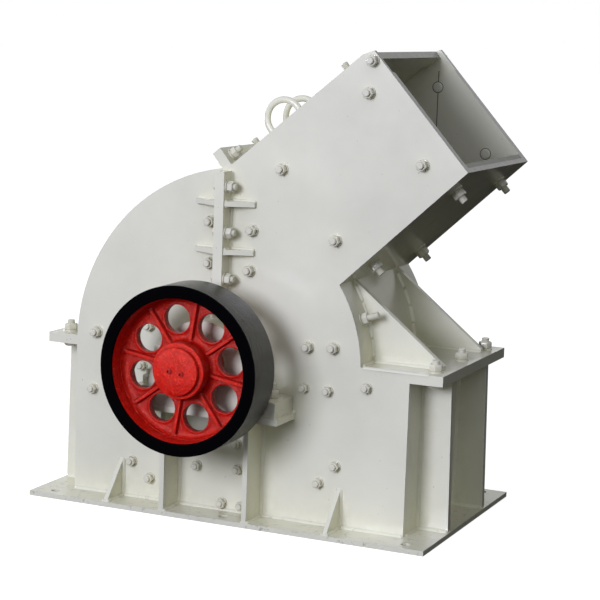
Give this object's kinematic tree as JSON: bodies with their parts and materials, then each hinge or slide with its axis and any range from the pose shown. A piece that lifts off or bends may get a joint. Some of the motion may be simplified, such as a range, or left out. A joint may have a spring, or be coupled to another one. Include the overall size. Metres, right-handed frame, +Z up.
{
  "type": "hammer rock crusher",
  "caption": "Hammer crusher with a welded plate housing, a bolted rounded cover, an inclined feed chute, a flywheel and a belt sheave on one shaft.",
  "frame": {"origin": "centre of the base's underside, the middle of the anchor bolt pattern", "axes": "+X towards the feed chute, -Y towards the flywheel, +Y towards the belt sheave, +Z up"},
  "size_m": [1.065, 0.914, 1.1166],
  "materials": {
    "housing_paint": "cream enamel over welded steel plate, satin to gloss",
    "bearing_paint": "cream enamel over a cast housing",
    "liner_paint": "cream enamel over wear plate",
    "liner_steel": "bare wear plate, dark grey",
    "shaft_steel": "turned steel with a film of oil",
    "rotor_steel": "dark cast and forged steel",
    "wheel_paint": "red enamel over a rough casting, with a gloss black rim"
  },
  "bodies": {
    "frame": {"base_front": "housing_paint", "base_back": "housing_paint", "base_left": "housing_paint", "base_right": "housing_paint", "lower_side_front": "housing_paint", "lower_side_back": "housing_paint", "lower_end_left": "housing_paint", "lower_end_right": "housing_paint", "end_ribs_left": "housing_paint", "end_ribs_right": "housing_paint", "lower_flange_left": "housing_paint", "lower_flange_right": "housing_paint", "apron_ribs_front": "housing_paint", "apron_ribs_back": "housing_paint", "bearing_seat_front": "housing_paint", "bearing_seat_back": "housing_paint", "upper_flange_left": "housing_paint", "upper_flange_right": "housing_paint", "cover_side_front": "housing_paint", "cover_side_back": "housing_paint", "cover_shell": "housing_paint", "cover_flange_front": "housing_paint", "cover_flange_back": "housing_paint", "cover_flange_top": "housing_paint", "chute_side_front": "housing_paint", "chute_side_back": "housing_paint", "chute_flange_front": "housing_paint", "chute_flange_back": "housing_paint", "chute_flange_top": "housing_paint", "chute_roof": "housing_paint", "chute_floor": "housing_paint", "breast_wall": "housing_paint", "flange_gussets": "housing_paint", "lifting_rings": "housing_paint", "bearing_housing_front": "bearing_paint", "bearing_housing_back": "bearing_paint", "chute_side_liners": "liner_paint", "floor_liner": "liner_steel", "breast_liner": "liner_steel", "discharge_grate": "liner_steel"},
    "rotor": {"rotor_shaft": "shaft_steel", "rotor_discs": "rotor_steel", "hammer_pins": "shaft_steel", "hammers": "rotor_steel", "flywheel": "wheel_paint", "belt_sheave": "wheel_paint", "hub_end_caps": "wheel_paint"}
  },
  "joints": [
    {"name": "rotor_spin", "type": "hinge", "parent": "frame", "child": "rotor", "pos_m": [-0.042, 0, 0.384], "axis": [0, 1, 0], "continuous": true}
  ]
}
